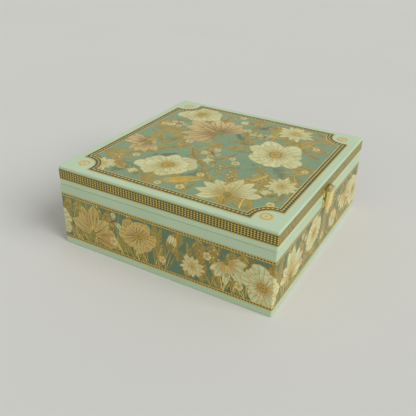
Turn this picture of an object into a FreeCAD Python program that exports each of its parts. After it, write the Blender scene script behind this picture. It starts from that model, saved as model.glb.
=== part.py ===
"""Square wooden sweet box: hinged lid, printed wraps, brass hinges and a small brass hasp.

The box stands on z = 0 with its origin under its middle. The hasp is on the front, towards -Y,
and the hinges are on the back. All lengths are in millimetres.
"""
import FreeCAD
import Part
import math
import os

# Outside of the box
box_width = 254.0
box_depth = 254.0
box_height = 95.5
lid_height = 21.2
rim_gap = 0.3
corner_radius = 1.2
top_edge_radius = 0.8
rim_chamfer = 0.4
foot_chamfer = 0.6

# Boards
wall = 8.0
floor_thickness = 5.0
lid_panel_thickness = 6.0

# Flocked cards that line the inside, and the slats that divide it
lining = 1.5
lining_setback = 3.0
slat = 3.0
slat_height = 50.0
slat_play = 0.3
cells_across = 3

# Printed wraps
print_thickness = 0.25
side_print_bottom = 8.0
side_print_drop = 10.0
band_bottom_drop = 15.0
band_top_drop = 3.0
panel_inset = 8.6
notch_reach = 23.3
notch_radius = 16.0
ring_inset = 19.5
ring_outer_radius = 6.3
ring_inner_radius = 4.2
ring_dot_radius = 1.6
front_left_ring_shift = 1.8

# Running clearances of the brass fittings
pin_clearance = 0.05
knuckle_end_play = 0.3
metal_gap = 0.3
overrun = 1.0

# Back hinges
hinge_offset_x = 75.0
hinge_length = 25.0
hinge_outer_knuckle = 6.25
hinge_leaf_height = 14.0
hinge_leaf_thickness = 1.0
hinge_knuckle_radius = 1.9
hinge_pin_radius = 0.9
hinge_pin_head_radius = 1.5
hinge_pin_head_length = 0.6
hinge_open_angle = 105.0
stop_angle = 25.0
stop_reach = 5.0
stop_thickness = 0.9

# Fasteners
screw_radius = 1.1
screw_length = 6.5
screw_head_radius = 2.2
screw_head_height = 0.9
screw_spacing = 15.0
screw_drop = 9.0
nail_radius = 0.6
nail_length = 5.0
nail_head_radius = 1.2
nail_head_height = 0.5

# Front latch
latch_center_x = -1.4
latch_width = 13.2
latch_plate_thickness = 1.1
latch_axis_rise = 10.6
latch_knuckle_radius = 1.5
latch_pin_radius = 0.7
latch_side_knuckle = 3.0
lid_plate_drop = 9.9
base_plate_height = 10.3
base_plate_drop = 0.9
nail_inset = 2.2
hasp_sheet = 0.8
hasp_back_gap = 2.3
hasp_top_reach = 4.6
hasp_foot_reach = 2.7
hasp_top_rise = 0.3
hasp_length = 24.0
hasp_corner = 1.5
hasp_edge_radius = 0.6
hasp_dimple_radius = 0.7
hasp_dimple_depth = 0.3
catch_width = 5.0
catch_height = 4.0
catch_rise = 5.6
catch_middle_drop = 17.5
catch_edge_radius = 0.8
window_side_play = 0.5
window_end_play = 0.6

# Places that follow from the sizes above
plane_tolerance = 0.001
lid_bottom = box_height - lid_height
rim = lid_bottom - rim_gap
side_print_top = rim - side_print_drop
latch_axis_z = lid_bottom + latch_axis_rise
front_face = -box_depth / 2
back_face = box_depth / 2
front_seat = front_face - print_thickness
back_seat = back_face + print_thickness
inner_width = box_width - 2 * wall
inner_depth = box_depth - 2 * wall
lid_ceiling = box_height - lid_panel_thickness
lining_floor = floor_thickness + lining
parting_middle = (lid_bottom + rim) / 2
hinge_axis_y = back_seat + hinge_knuckle_radius + metal_gap
latch_plate_front = front_seat - latch_plate_thickness
latch_axis_y = latch_plate_front - latch_knuckle_radius - metal_gap

X_AXIS = FreeCAD.Vector(1, 0, 0)
Y_AXIS = FreeCAD.Vector(0, 1, 0)
Z_AXIS = FreeCAD.Vector(0, 0, 1)


def save(name, shape):
    shape.exportStep("parts/" + name + ".step")


def point(x, y, z):
    return FreeCAD.Vector(x, y, z)


def block(low, high):
    """Box between two opposite corners."""
    return Part.makeBox(high[0] - low[0], high[1] - low[1], high[2] - low[2], point(*low))


def fused(shapes):
    joined = shapes[0]
    for shape in shapes[1:]:
        joined = joined.fuse(shape)
    return joined.removeSplitter()


def flat_edges(shape, z):
    """Edges of a shape that lie all along at one height."""
    return [edge for edge in shape.Edges
            if all(abs(v.Point.z - z) < plane_tolerance for v in edge.Vertexes)]


def rounded_block(grow, low_z, high_z):
    """Box-sized block with rounded upright corners, grown outwards on all four sides."""
    half_w = box_width / 2 + grow
    half_d = box_depth / 2 + grow
    shape = block((-half_w, -half_d, low_z), (half_w, half_d, high_z))
    upright = [edge for edge in shape.Edges
               if abs(edge.Vertexes[0].Point.z - edge.Vertexes[1].Point.z) > plane_tolerance]
    return shape.makeFillet(corner_radius + grow, upright)


def hollow(shape, low_z, high_z):
    """Takes the room between the four walls out of a block."""
    return shape.cut(block((-inner_width / 2, -inner_depth / 2, low_z),
                           (inner_width / 2, inner_depth / 2, high_z)))


def mitred_side(ring, side, low_z, high_z):
    """Cuts one of the four boards out of a ring, along the mitres of its corners."""
    half_w = box_width / 2
    half_d = box_depth / 2
    in_w = inner_width / 2
    in_d = inner_depth / 2
    outlines = {
        "front": [(-half_w, -half_d), (half_w, -half_d), (in_w, -in_d), (-in_w, -in_d)],
        "back": [(half_w, half_d), (-half_w, half_d), (-in_w, in_d), (in_w, in_d)],
        "left": [(-half_w, half_d), (-half_w, -half_d), (-in_w, -in_d), (-in_w, in_d)],
        "right": [(half_w, -half_d), (half_w, half_d), (in_w, in_d), (in_w, -in_d)],
    }
    corners = [point(x, y, low_z) for x, y in outlines[side]]
    face = Part.Face(Part.makePolygon(corners + corners[:1]))
    return ring.common(face.extrude(point(0, 0, high_z - low_z)))


def cylinder_x(x, y, z, radius, length):
    return Part.makeCylinder(radius, length, point(x, y, z), X_AXIS)


def fastener(x, y, z, outward, shank_radius, shank_length, head_radius, head_height):
    """Domed screw or nail whose head lies on the surface at y and whose shank goes inwards."""
    dome_radius = (head_radius ** 2 + head_height ** 2) / (2 * head_height)
    mid_angle = math.asin(head_radius / dome_radius) / 2
    shoulder = point(head_radius, 0, 0)
    crown = point(dome_radius * math.sin(mid_angle),
                  0, head_height - dome_radius * (1 - math.cos(mid_angle)))
    top = point(0, 0, head_height)
    dome = Part.Arc(shoulder, crown, top).toShape()
    lines = Part.makePolygon([top, point(0, 0, -shank_length), point(shank_radius, 0, -shank_length),
                              point(shank_radius, 0, 0), shoulder])
    profile = Part.Face(Part.Wire([dome] + lines.Edges))
    shape = profile.revolve(point(0, 0, 0), Z_AXIS, 360)
    shape.rotate(point(0, 0, 0), X_AXIS, -outward * 90)
    shape.translate(point(x, y, z))
    return shape


def fastener_hole(x, y, z, outward, shank_radius, shank_length):
    """Round hole for a shank, open at the surface at y and a little past it."""
    start = point(x, y + outward * overrun, z)
    return Part.makeCylinder(shank_radius + pin_clearance, shank_length + overrun + pin_clearance,
                             start, Y_AXIS * -outward)


def screw_places(sign):
    """Screw centres on the two leaves above (sign 1) or below (sign -1) the hinge axis."""
    return [(hinge_x + dx, parting_middle + sign * screw_drop)
            for hinge_x in (-hinge_offset_x, hinge_offset_x)
            for dx in (-screw_spacing / 2, screw_spacing / 2)]


def latch_nail_places(z):
    """Nail centres in the two sides of a latch plate."""
    reach = latch_width / 2 - nail_inset
    return [(latch_center_x - reach, z), (latch_center_x + reach, z)]


def lid_plate_nail_z():
    return latch_axis_z - lid_plate_drop + nail_inset


def base_plate_top():
    return rim - base_plate_drop


def base_plate_nail_z():
    return base_plate_top() - nail_inset


def drill(shape, places, surface_y, outward, radius, length):
    for x, z in places:
        shape = shape.cut(fastener_hole(x, surface_y, z, outward, radius, length))
    return shape


def base_walls():
    ring = rounded_block(0, 0, rim)
    ring = ring.makeChamfer(rim_chamfer, flat_edges(ring, rim))
    ring = ring.makeChamfer(foot_chamfer, flat_edges(ring, 0))
    ring = hollow(ring, -overrun, rim + overrun)
    for side in ("front", "back", "left", "right"):
        board = mitred_side(ring, side, 0, rim)
        if side == "back":
            board = drill(board, screw_places(-1), back_face, 1, screw_radius, screw_length)
        if side == "front":
            places = latch_nail_places(base_plate_nail_z())
            board = drill(board, places, front_face, -1, nail_radius, nail_length)
        save("base_" + side + "_wall", board)


def base_floor():
    save("base_floor", block((-inner_width / 2, -inner_depth / 2, 0),
                             (inner_width / 2, inner_depth / 2, floor_thickness)))


def base_linings():
    half_w = inner_width / 2
    half_d = inner_depth / 2
    top = rim - lining_setback
    save("floor_lining", block((-half_w, -half_d, floor_thickness), (half_w, half_d, lining_floor)))
    save("front_lining", block((-half_w, -half_d, lining_floor), (half_w, -half_d + lining, top)))
    save("back_lining", block((-half_w, half_d - lining, lining_floor), (half_w, half_d, top)))
    save("left_lining", block((-half_w, -half_d + lining, lining_floor),
                              (-half_w + lining, half_d - lining, top)))
    save("right_lining", block((half_w - lining, -half_d + lining, lining_floor),
                               (half_w, half_d - lining, top)))


def slat_centers(span):
    """Middles of the slats that divide a span into equal cells."""
    cell = (span - (cells_across - 1) * slat) / cells_across
    return [-span / 2 + i * cell + (i - 1 / 2) * slat for i in range(1, cells_across)]


def dividers():
    """Slats that cross over each other: each is notched to half its height where it meets one."""
    span_x = inner_width - 2 * lining
    span_y = inner_depth - 2 * lining
    top = lining_floor + slat_height
    middle = lining_floor + slat_height / 2
    notch = slat / 2 + slat_play / 2
    across = slat_centers(span_y)
    along = slat_centers(span_x)
    for number, y in enumerate(across, 1):
        board = block((-span_x / 2 + slat_play, y - slat / 2, lining_floor),
                      (span_x / 2 - slat_play, y + slat / 2, top))
        for x in along:
            board = board.cut(block((x - notch, y - slat, middle), (x + notch, y + slat, top + overrun)))
        save("cross_divider_" + str(number), board)
    for number, x in enumerate(along, 1):
        board = block((x - slat / 2, -span_y / 2 + slat_play, lining_floor),
                      (x + slat / 2, span_y / 2 - slat_play, top))
        for y in across:
            board = board.cut(block((x - slat, y - notch, lining_floor - overrun),
                                    (x + slat, y + notch, middle)))
        save("long_divider_" + str(number), board)


def wrap_ring(low_z, high_z):
    """Thin printed wrap that runs round all four sides."""
    return rounded_block(print_thickness, low_z, high_z).cut(
        rounded_block(0, low_z - overrun, high_z + overrun))


def prints():
    save("side_print", wrap_ring(side_print_bottom, side_print_top))
    band = wrap_ring(box_height - band_bottom_drop, box_height - band_top_drop)
    save("lid_band", drill(band, screw_places(1), back_seat, 1, screw_radius, screw_length))
    save("top_print", top_print())
    save("corner_rings", corner_rings())


def top_print():
    """Panel whose four corners are scooped by an arc between two short straight shoulders."""
    edge_x = box_width / 2 - panel_inset
    edge_y = box_depth / 2 - panel_inset
    half_root = math.sqrt(1 / 2)
    path = []
    for sx, sy in ((1, -1), (1, 1), (-1, 1), (-1, -1)):
        tip_x = point(sx * (edge_x - notch_reach), sy * edge_y, box_height)
        tip_y = point(sx * edge_x, sy * (edge_y - notch_reach), box_height)
        center = point(sx * (edge_x - notch_reach + notch_radius),
                       sy * (edge_y - notch_reach + notch_radius), box_height)
        start = point(tip_x.x, center.y, box_height)
        end = point(center.x, tip_y.y, box_height)
        middle = center - point(sx, sy, 0) * (notch_radius * half_root)
        run = [("line", tip_x, start), ("arc", start, middle, end), ("line", end, tip_y)]
        if sx * sy > 0:
            run = [(step[0],) + tuple(reversed(step[1:])) for step in reversed(run)]
        path.append(run)
    edges = []
    for number, run in enumerate(path):
        following = path[(number + 1) % len(path)]
        for step in run:
            if step[0] == "line":
                edges.append(Part.makeLine(step[1], step[2]))
            else:
                edges.append(Part.Arc(step[1], step[2], step[3]).toShape())
        edges.append(Part.makeLine(run[-1][-1], following[0][1]))
    face = Part.Face(Part.Wire(Part.__sortEdges__(edges)))
    return face.extrude(point(0, 0, print_thickness))


def corner_rings():
    """A ring and dot in each corner of the lid's top, one of them printed a little off its place."""
    pieces = []
    for sx in (-1, 1):
        for sy in (-1, 1):
            shift = front_left_ring_shift if sx < 0 and sy < 0 else 0
            center = point(sx * (box_width / 2 - ring_inset), sy * (box_depth / 2 - ring_inset) + shift,
                           box_height)
            outer = Part.makeCylinder(ring_outer_radius, print_thickness, center)
            inner = Part.makeCylinder(ring_inner_radius, print_thickness, center)
            pieces.append(outer.cut(inner))
            pieces.append(Part.makeCylinder(ring_dot_radius, print_thickness, center))
    return Part.makeCompound(pieces)


def lid_boards():
    ring = rounded_block(0, lid_bottom, lid_ceiling)
    ring = ring.makeChamfer(rim_chamfer, flat_edges(ring, lid_bottom))
    ring = hollow(ring, lid_bottom - overrun, lid_ceiling + overrun)
    for side in ("front", "back", "left", "right"):
        board = mitred_side(ring, side, lid_bottom, lid_ceiling)
        if side == "back":
            board = drill(board, screw_places(1), back_face, 1, screw_radius, screw_length)
        if side == "front":
            places = latch_nail_places(lid_plate_nail_z())
            board = drill(board, places, front_face, -1, nail_radius, nail_length)
        save("lid_" + side + "_rail", board)
    panel = rounded_block(0, lid_ceiling, box_height)
    save("lid_top_panel", panel.makeFillet(top_edge_radius, flat_edges(panel, box_height)))
    save("lid_lining", block((-inner_width / 2, -inner_depth / 2, lid_ceiling - lining),
                             (inner_width / 2, inner_depth / 2, lid_ceiling)))


def knuckle_spans():
    """Start and end of the two outer knuckles and of the middle one, from the hinge's middle."""
    half = hinge_length / 2
    inner = half - hinge_outer_knuckle
    return {
        "outer": [(-half, -inner), (inner, half)],
        "middle": [(-inner + knuckle_end_play, inner - knuckle_end_play)],
    }


def radial_plate(low_x, high_x, angle, low_r, high_r, thickness):
    """Flat plate that points away from the hinge axis, at an angle from straight up towards +Y."""
    plate = block((low_x, hinge_axis_y - thickness / 2, parting_middle + low_r),
                  (high_x, hinge_axis_y + thickness / 2, parting_middle + high_r))
    plate.rotate(point(low_x, hinge_axis_y, parting_middle), X_AXIS, -angle)
    return plate


def hinge_leaf(center_x, sign, kind, angle):
    """Leaf on the back face with its knuckles and the tail that stops the lid when it is open."""
    clear_r = hinge_knuckle_radius + metal_gap
    far = parting_middle + sign * (clear_r + hinge_leaf_height)
    near = parting_middle + sign * clear_r
    left = center_x - hinge_length / 2
    right = center_x + hinge_length / 2
    face_y = back_seat + hinge_leaf_thickness
    pieces = [block((left, back_seat, min(near, far)), (right, face_y, max(near, far)))]
    for low, high in knuckle_spans()[kind]:
        pieces.append(cylinder_x(center_x + low, hinge_axis_y, parting_middle,
                                 hinge_knuckle_radius, high - low))
        pieces.append(block((center_x + low, back_seat, min(near, parting_middle)),
                            (center_x + high, face_y, max(near, parting_middle))))
        pieces.append(radial_plate(center_x + low, center_x + high, angle,
                                   hinge_pin_radius + pin_clearance + stop_thickness / 2,
                                   clear_r + stop_thickness / 2, stop_thickness))
    pieces.append(radial_plate(left, right, angle, clear_r, stop_reach, stop_thickness))
    leaf = fused(pieces)
    leaf = leaf.cut(cylinder_x(left - overrun, hinge_axis_y, parting_middle,
                               hinge_pin_radius + pin_clearance, hinge_length + 2 * overrun))
    for x, z in screw_places(sign):
        if left < x < right:
            leaf = leaf.cut(fastener_hole(x, face_y, z, 1, screw_radius, screw_length))
    return leaf


def hinge_pin(center_x):
    """Pin through the knuckles, with a flat head at each end."""
    half = hinge_length / 2
    pin = cylinder_x(center_x - half, hinge_axis_y, parting_middle, hinge_pin_radius, hinge_length)
    heads = [cylinder_x(center_x - half - hinge_pin_head_length, hinge_axis_y, parting_middle,
                        hinge_pin_head_radius, hinge_pin_head_length),
             cylinder_x(center_x + half, hinge_axis_y, parting_middle,
                        hinge_pin_head_radius, hinge_pin_head_length)]
    return fused([pin] + heads)


def hinges():
    """Two stop hinges: their tails meet when the lid has swung back to its open angle."""
    inner_r = hinge_knuckle_radius + metal_gap
    tail_overlap = 2 * math.degrees(math.atan((stop_thickness / 2) / inner_r))
    base_angle = stop_angle + hinge_open_angle + tail_overlap + math.degrees(metal_gap / inner_r)
    for name, center_x in (("left", -hinge_offset_x), ("right", hinge_offset_x)):
        save("hinge_lid_leaf_" + name, hinge_leaf(center_x, 1, "middle", stop_angle))
        save("hinge_base_leaf_" + name, hinge_leaf(center_x, -1, "outer", base_angle))
        save("hinge_pin_" + name, hinge_pin(center_x))
    face_y = back_seat + hinge_leaf_thickness
    for name, sign in (("lid", 1), ("base", -1)):
        screws = [fastener(x, face_y, z, 1, screw_radius, screw_length,
                           screw_head_radius, screw_head_height) for x, z in screw_places(sign)]
        save("hinge_" + name + "_screws", Part.makeCompound(screws))


def latch_lid_plate():
    """Plate nailed to the lid, whose top is rolled into two knuckles for the hasp's pin."""
    left = latch_center_x - latch_width / 2
    right = latch_center_x + latch_width / 2
    top = latch_axis_z + latch_knuckle_radius
    pieces = [block((left, latch_plate_front, latch_axis_z - lid_plate_drop), (right, front_seat, top))]
    for low in (left, right - latch_side_knuckle):
        pieces.append(cylinder_x(low, latch_axis_y, latch_axis_z, latch_knuckle_radius, latch_side_knuckle))
        pieces.append(block((low, latch_axis_y, latch_axis_z + latch_knuckle_radius - latch_plate_thickness),
                            (low + latch_side_knuckle, latch_plate_front, top)))
    plate = fused(pieces)
    plate = plate.cut(cylinder_x(left - overrun, latch_axis_y, latch_axis_z,
                                 latch_pin_radius + pin_clearance, latch_width + 2 * overrun))
    return drill(plate, latch_nail_places(lid_plate_nail_z()), latch_plate_front, -1,
                 nail_radius, nail_length)


def latch_base_plate():
    left = latch_center_x - latch_width / 2
    right = latch_center_x + latch_width / 2
    plate = block((left, latch_plate_front, base_plate_top() - base_plate_height),
                  (right, front_seat, base_plate_top()))
    return drill(plate, latch_nail_places(base_plate_nail_z()), latch_plate_front, -1,
                 nail_radius, nail_length)


def latch_catch():
    """Rounded nose on the base plate that comes through the hasp's window."""
    middle = latch_axis_z - catch_middle_drop
    tip = latch_plate_front - catch_rise
    nose = block((latch_center_x - catch_width / 2, tip, middle - catch_height / 2),
                 (latch_center_x + catch_width / 2, latch_plate_front, middle + catch_height / 2))
    tip_edges = [edge for edge in nose.Edges
                 if all(abs(v.Point.y - tip) < plane_tolerance for v in edge.Vertexes)]
    return nose.makeFillet(catch_edge_radius, tip_edges)


def hasp_face_y(z):
    """Front of the hasp's sloping face at a height."""
    top = latch_axis_z + hasp_top_rise
    bottom = latch_axis_z - hasp_length
    share = (top - z) / (top - bottom)
    return latch_axis_y - hasp_top_reach + (hasp_top_reach - hasp_foot_reach) * share


def side_prism(left, right, outline):
    """Solid between two x, of an outline given as pairs of y and z."""
    corners = [point(left, y, z) for y, z in outline]
    face = Part.Face(Part.makePolygon(corners + corners[:1]))
    return face.extrude(point(right - left, 0, 0))


def hasp_shell():
    """Pressed shell, open towards the box: a sloping face, a top, a foot and two sides."""
    left = latch_center_x - latch_width / 2
    right = latch_center_x + latch_width / 2
    back_y = latch_plate_front - hasp_back_gap
    neck_y = latch_axis_y - latch_knuckle_radius - metal_gap
    top = latch_axis_z + hasp_top_rise
    shoulder = latch_axis_z - latch_knuckle_radius - metal_gap
    bottom = latch_axis_z - hasp_length
    outline = [(back_y, bottom), (hasp_face_y(bottom), bottom), (hasp_face_y(top), top),
               (neck_y, top), (neck_y, shoulder), (back_y, shoulder)]
    shell = side_prism(left, right, outline)
    low_corners = [edge for edge in shell.Edges
                   if all(abs(v.Point.z - bottom) < plane_tolerance for v in edge.Vertexes)
                   and abs(edge.Vertexes[0].Point.y - edge.Vertexes[1].Point.y) > plane_tolerance]
    shell = shell.makeFillet(hasp_corner, low_corners)
    face_edges = [edge for edge in shell.Edges
                  if all(abs(v.Point.y - hasp_face_y(v.Point.z)) < plane_tolerance for v in edge.Vertexes)]
    shell = shell.makeFillet(hasp_edge_radius, face_edges)
    inner_top = top - hasp_sheet
    inner_bottom = bottom + hasp_sheet
    hollow_back = back_y + overrun
    hollow_outline = [(hollow_back, inner_bottom), (hasp_face_y(inner_bottom) + hasp_sheet, inner_bottom),
                      (hasp_face_y(inner_top) + hasp_sheet, inner_top), (hollow_back, inner_top)]
    return shell.cut(side_prism(left + hasp_sheet, right - hasp_sheet, hollow_outline))


def latch_hasp():
    """The shell with its knuckle, a window for the catch and a dimple in each side."""
    half = latch_width / 2
    knuckle_half = half - latch_side_knuckle - knuckle_end_play
    neck_y = latch_axis_y - latch_knuckle_radius - metal_gap
    top = latch_axis_z + hasp_top_rise
    hasp = fused([hasp_shell(),
                  cylinder_x(latch_center_x - knuckle_half, latch_axis_y, latch_axis_z,
                             latch_knuckle_radius, 2 * knuckle_half),
                  block((latch_center_x - knuckle_half, neck_y - hasp_sheet, top - hasp_sheet),
                        (latch_center_x + knuckle_half, latch_axis_y, top))])
    hasp = hasp.cut(cylinder_x(latch_center_x - half, latch_axis_y, latch_axis_z,
                               latch_pin_radius + pin_clearance, latch_width))
    middle = latch_axis_z - catch_middle_drop
    window_half_w = catch_width / 2 + window_side_play
    window_half_h = catch_height / 2 + window_end_play
    window_front = hasp_face_y(top) - overrun
    window_back = latch_plate_front - hasp_back_gap
    hasp = hasp.cut(block((latch_center_x - window_half_w, window_front, middle - window_half_h),
                          (latch_center_x + window_half_w, window_back, middle + window_half_h)))
    dimple_z = latch_axis_z - latch_knuckle_radius - metal_gap - nail_inset
    dimple_y = (window_back + hasp_face_y(dimple_z)) / 2
    for x in (latch_center_x - half, latch_center_x + half - hasp_dimple_depth):
        hasp = hasp.cut(cylinder_x(x, dimple_y, dimple_z, hasp_dimple_radius, hasp_dimple_depth))
    return hasp


def latch_pin():
    half = latch_width / 2
    return cylinder_x(latch_center_x - half, latch_axis_y, latch_axis_z, latch_pin_radius, latch_width)


def latch():
    save("latch_lid_plate", latch_lid_plate())
    save("latch_base_plate", latch_base_plate())
    save("latch_catch", latch_catch())
    save("latch_hasp", latch_hasp())
    save("latch_pin", latch_pin())
    for name, z in (("lid", lid_plate_nail_z()), ("base", base_plate_nail_z())):
        nails = [fastener(x, latch_plate_front, nail_z, -1, nail_radius, nail_length,
                          nail_head_radius, nail_head_height) for x, nail_z in latch_nail_places(z)]
        save("latch_" + name + "_nails", Part.makeCompound(nails))


def main():
    os.makedirs("parts", exist_ok=True)
    base_walls()
    base_floor()
    base_linings()
    dividers()
    lid_boards()
    prints()
    hinges()
    latch()


main()
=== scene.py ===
"""Looks of the square sweet box: mint lacquer, painted panels, woven band, brass fittings, flocked inside.

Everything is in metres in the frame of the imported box. The painted panels are drawn flat, in
millimetres, as overlapping outlines, then laid down as one mesh in which the top outline wins.
"""

import math
import random
from collections import namedtuple
from functools import partial

import bpy
import numpy as np
from mathutils import Euler, Matrix, Vector
from mathutils.bvhtree import BVHTree
from mathutils.geometry import delaunay_2d_cdt


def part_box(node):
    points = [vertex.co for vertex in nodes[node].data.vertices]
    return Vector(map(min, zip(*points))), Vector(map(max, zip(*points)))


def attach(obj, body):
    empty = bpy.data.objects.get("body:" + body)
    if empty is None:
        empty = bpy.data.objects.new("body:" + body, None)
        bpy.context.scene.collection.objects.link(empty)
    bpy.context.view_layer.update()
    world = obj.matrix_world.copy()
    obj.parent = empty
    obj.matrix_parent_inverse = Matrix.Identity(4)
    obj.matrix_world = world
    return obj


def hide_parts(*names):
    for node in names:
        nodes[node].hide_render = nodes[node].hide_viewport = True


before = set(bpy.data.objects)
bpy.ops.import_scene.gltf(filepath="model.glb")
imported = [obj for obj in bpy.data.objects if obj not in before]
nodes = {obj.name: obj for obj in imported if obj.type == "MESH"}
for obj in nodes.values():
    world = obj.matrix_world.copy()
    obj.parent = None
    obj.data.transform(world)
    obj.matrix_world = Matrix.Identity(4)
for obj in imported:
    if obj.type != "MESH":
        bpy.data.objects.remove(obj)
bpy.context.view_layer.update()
bpy.ops.object.select_all(action="DESELECT")

MM = 0.001

# The box, read from its own boards: corners and heights in metres, skin and wrap in millimetres
top_low, top_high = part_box("top_print")
side_low, side_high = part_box("side_print")
band_low, band_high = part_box("lid_band")
panel_z = top_low[2]
joint_z = (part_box("lid_front_rail")[0][2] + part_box("base_front_wall")[1][2]) / 2
skin = (top_high[2] - top_low[2]) / MM
wrap_half = side_high[0] / MM
wrap_corner = 1.45
wrap_sides = ("left", "front", "right", "back")

# The painted frame round the top panel: depths inwards from its outer edge
panel_edge = top_high[0] / MM
notch_reach = 23.3
notch_radius = 16.0
notch_steps = 14
edge_line = 0.95
outer_stripe_end = 3.35
rope_end = 5.3
inner_stripe_end = 6.95
frame_end = 8.0
rope_pitch = 4.4

# The borders of the frieze and the rows of the woven band
border_height = 3.4
border_pitch = 3.25
border_bead_inset = 0.47
weave_pitch_along = 3.3
weave_rows = 5
weave_edge = 0.75

# How finely art is checked for being seen, how near points join, and the bake picture's margin
look_step = 0.3
join_distance = 1e-5
bake_margin = 0.006

# Driver's slots in the screws, how far edges are broken, and the gap that tells two screws apart
slot_width = 0.7
slot_depth = 0.65
head_reach = 3.0
screw_gap = 2.0
metal_ease = 0.14
slat_ease = 0.5

# Wear of the lacquer at the box's edges, paler partly as a painted highlight; dirt with painted shade along
# the joint; painted shade up the latch's knuckle, in metres
arris_reach = 0.0009
arris_core = 0.0003
top_arris_reach = 0.0007
top_arris_core = 0.0002
joint_shade_core = 0.0004
joint_shade_reach = 0.0012
painted_shade_fade = 0.0012

# Camera of the photograph, fitted to the corners of the box, which is 254 mm square
camera_azimuth = -60.949
camera_elevation = 29.6478
camera_roll = 1.411
camera_distance = 2.5779
camera_shift_right = -0.0537
camera_shift_up = -0.0935
camera_focal_pixels = 556.284
photo_pixels = 416
sensor_width = 36.0
box_side = 0.254
fitted_height = 0.37657
floor_size = 14.0


def ink(*shade):
    """Linear colour of a printed or painted shade given as 0 to 255."""
    parts = [value / 255 for value in shade]
    return tuple(part / 12.92 if part <= 0.04045 else ((part + 0.055) / 1.055) ** 2.4 for part in parts)


def toned(colour, factor):
    return tuple(min(1.0, part * factor) for part in colour)


def blended(first, second, share):
    return tuple(a + (b - a) * share for a, b in zip(first, second))


# Lacquer, inks, card and brass
MINT = ink(190, 211, 176)
GROUND = ink(127, 153, 116)
GROUND_SIDE = ink(98, 123, 92)
DUSK = ink(66, 86, 58)
STRIPE = ink(64, 90, 62)
DEEP = ink(44, 60, 38)
FRAME_GOLD = ink(220, 180, 80)
WEAVE_GOLD = ink(218, 186, 86)
WEAVE_SHADE = ink(152, 138, 58)
RING_GOLD = ink(214, 165, 56)
RING_LIGHT = ink(221, 174, 68)
GOLD = ink(200, 168, 70)
ORANGE = ink(214, 170, 80)
GOLD_LIGHT = ink(222, 196, 106)
GOLD_DARK = ink(144, 120, 46)
OCHRE = ink(182, 158, 72)
OLIVE = ink(150, 142, 66)
CREAM = ink(202, 200, 144)
CREAM_LIGHT = ink(214, 216, 166)
CREAM_SHADE = ink(170, 152, 80)
TAN = ink(198, 172, 110)
TAN_LIGHT = ink(212, 192, 132)
TAN_SHADE = ink(156, 124, 62)
STRAW = ink(206, 208, 152)
STRAW_LIGHT = ink(216, 222, 176)
HONEY = ink(192, 160, 84)
HONEY_LIGHT = ink(206, 182, 112)
UMBER = ink(110, 88, 42)
SAGE_LIGHT = ink(142, 162, 116)
SAGE_DEEP = ink(98, 124, 90)
FLOCK = ink(212, 196, 152)
BRASS = (1.0, 0.82, 0.35)
PIN_BRASS = (0.88, 0.70, 0.30)


# Flat drawing kit

class Finish:
    """How one outline is painted: body colour, colour at its foot, and its fine lines."""

    def __init__(self, body, foot=None, line=None, strength=0.0, fanned=0.0, veined=0.0, count=0.0):
        self.body = body
        self.foot = foot or body
        self.line = line or body
        self.strength = strength
        self.hand = (fanned, veined, count)


class Outline:
    """Closed outline in a colour or finish, with a plane map from the sheet to its length and width."""

    def __init__(self, points, paint, grain=None):
        self.points = points
        self.finish = paint if isinstance(paint, Finish) else Finish(paint)
        self.grain = grain or Matrix.Identity(3)


def turned(angle):
    return Matrix.Rotation(angle, 3, "Z")


def moved(x, y):
    return Matrix(((1, 0, x), (0, 1, y), (0, 0, 1)))


def stretched(x, y):
    return Matrix(((x, 0, 0), (0, y, 0), (0, 0, 1)))


def placed(outlines, matrix):
    """The same outlines after a turn, a stretch or a move across the sheet."""
    back = matrix.inverted()
    result = []
    for outline in outlines:
        points = [(matrix @ Vector((x, y, 1)))[:2] for x, y in outline.points]
        result.append(Outline(points, outline.finish, outline.grain @ back))
    return result


def at(outlines, x, y, degrees, squash=1.0, squash_turn=0.0):
    """Places a motif; a squash shows it tipped away from the viewer."""
    lean = turned(math.radians(squash_turn))
    tip = lean @ stretched(1, squash) @ lean.inverted()
    return placed(outlines, moved(x, y) @ tip @ turned(math.radians(degrees)))


def planted(motif, rows):
    """A motif for each row of place, turn and its own measures."""
    shapes = []
    for x, y, degrees, *measures in rows:
        shapes += at(motif(*measures), x, y, degrees)
    return shapes


def lens(length, half_width, peak, fullness, steps, bend=0.0, wave=0.0, phase=0.0, notch=0.0):
    """Petal or leaf from the origin along +X: widest at peak, with a bent axis and a waved rim."""
    power = math.log(0.5) / math.log(peak)
    rims = []
    for side in (1, -1):
        rim = []
        for i in range(1, steps):
            t = 0.5 - 0.5 * math.cos(math.pi * i / steps)
            reach = math.sin(math.pi * t ** power) ** fullness
            ripple = 1 + wave * math.sin(phase + 2.1 * side + 10.5 * t) * t
            pull = notch * t ** 6 * (1 - reach)
            rim.append((length * (t - pull) * (1 + 0.4 * wave * t * math.sin(phase + 7 * t)),
                        side * half_width * reach * ripple + bend * length * t * t))
        rims.append(rim)
    tip = (length * (1 - notch), bend * length)
    return [(0.0, 0.0)] + rims[1] + [tip] + rims[0][::-1]


def grown(points, amount):
    """The same outline with its rim moved outwards."""
    result = []
    for i, (x, y) in enumerate(points):
        edge = Vector(points[(i + 1) % len(points)]) - Vector(points[i - 1])
        if edge.length < 1e-6:
            result.append((x, y))
            continue
        result.append((x + edge.y / edge.length * amount, y - edge.x / edge.length * amount))
    return result


def ring(count, offset=0.0):
    """Angles in radians that go evenly round."""
    return [2 * math.pi * (i + offset) / count for i in range(count)]


def fan(spread, count):
    """Angles in degrees that fan out evenly about the way ahead."""
    return [spread * ((i + 0.5) / count - 0.5) for i in range(count)]


def shuffled(draw, values):
    draw.shuffle(values)
    return values


def oval(width, height, steps, colour, x=0.0, y=0.0):
    """Oval dab of one colour."""
    return Outline([(x + width / 2 * math.cos(angle), y + height / 2 * math.sin(angle))
                    for angle in ring(steps)], colour)


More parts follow.
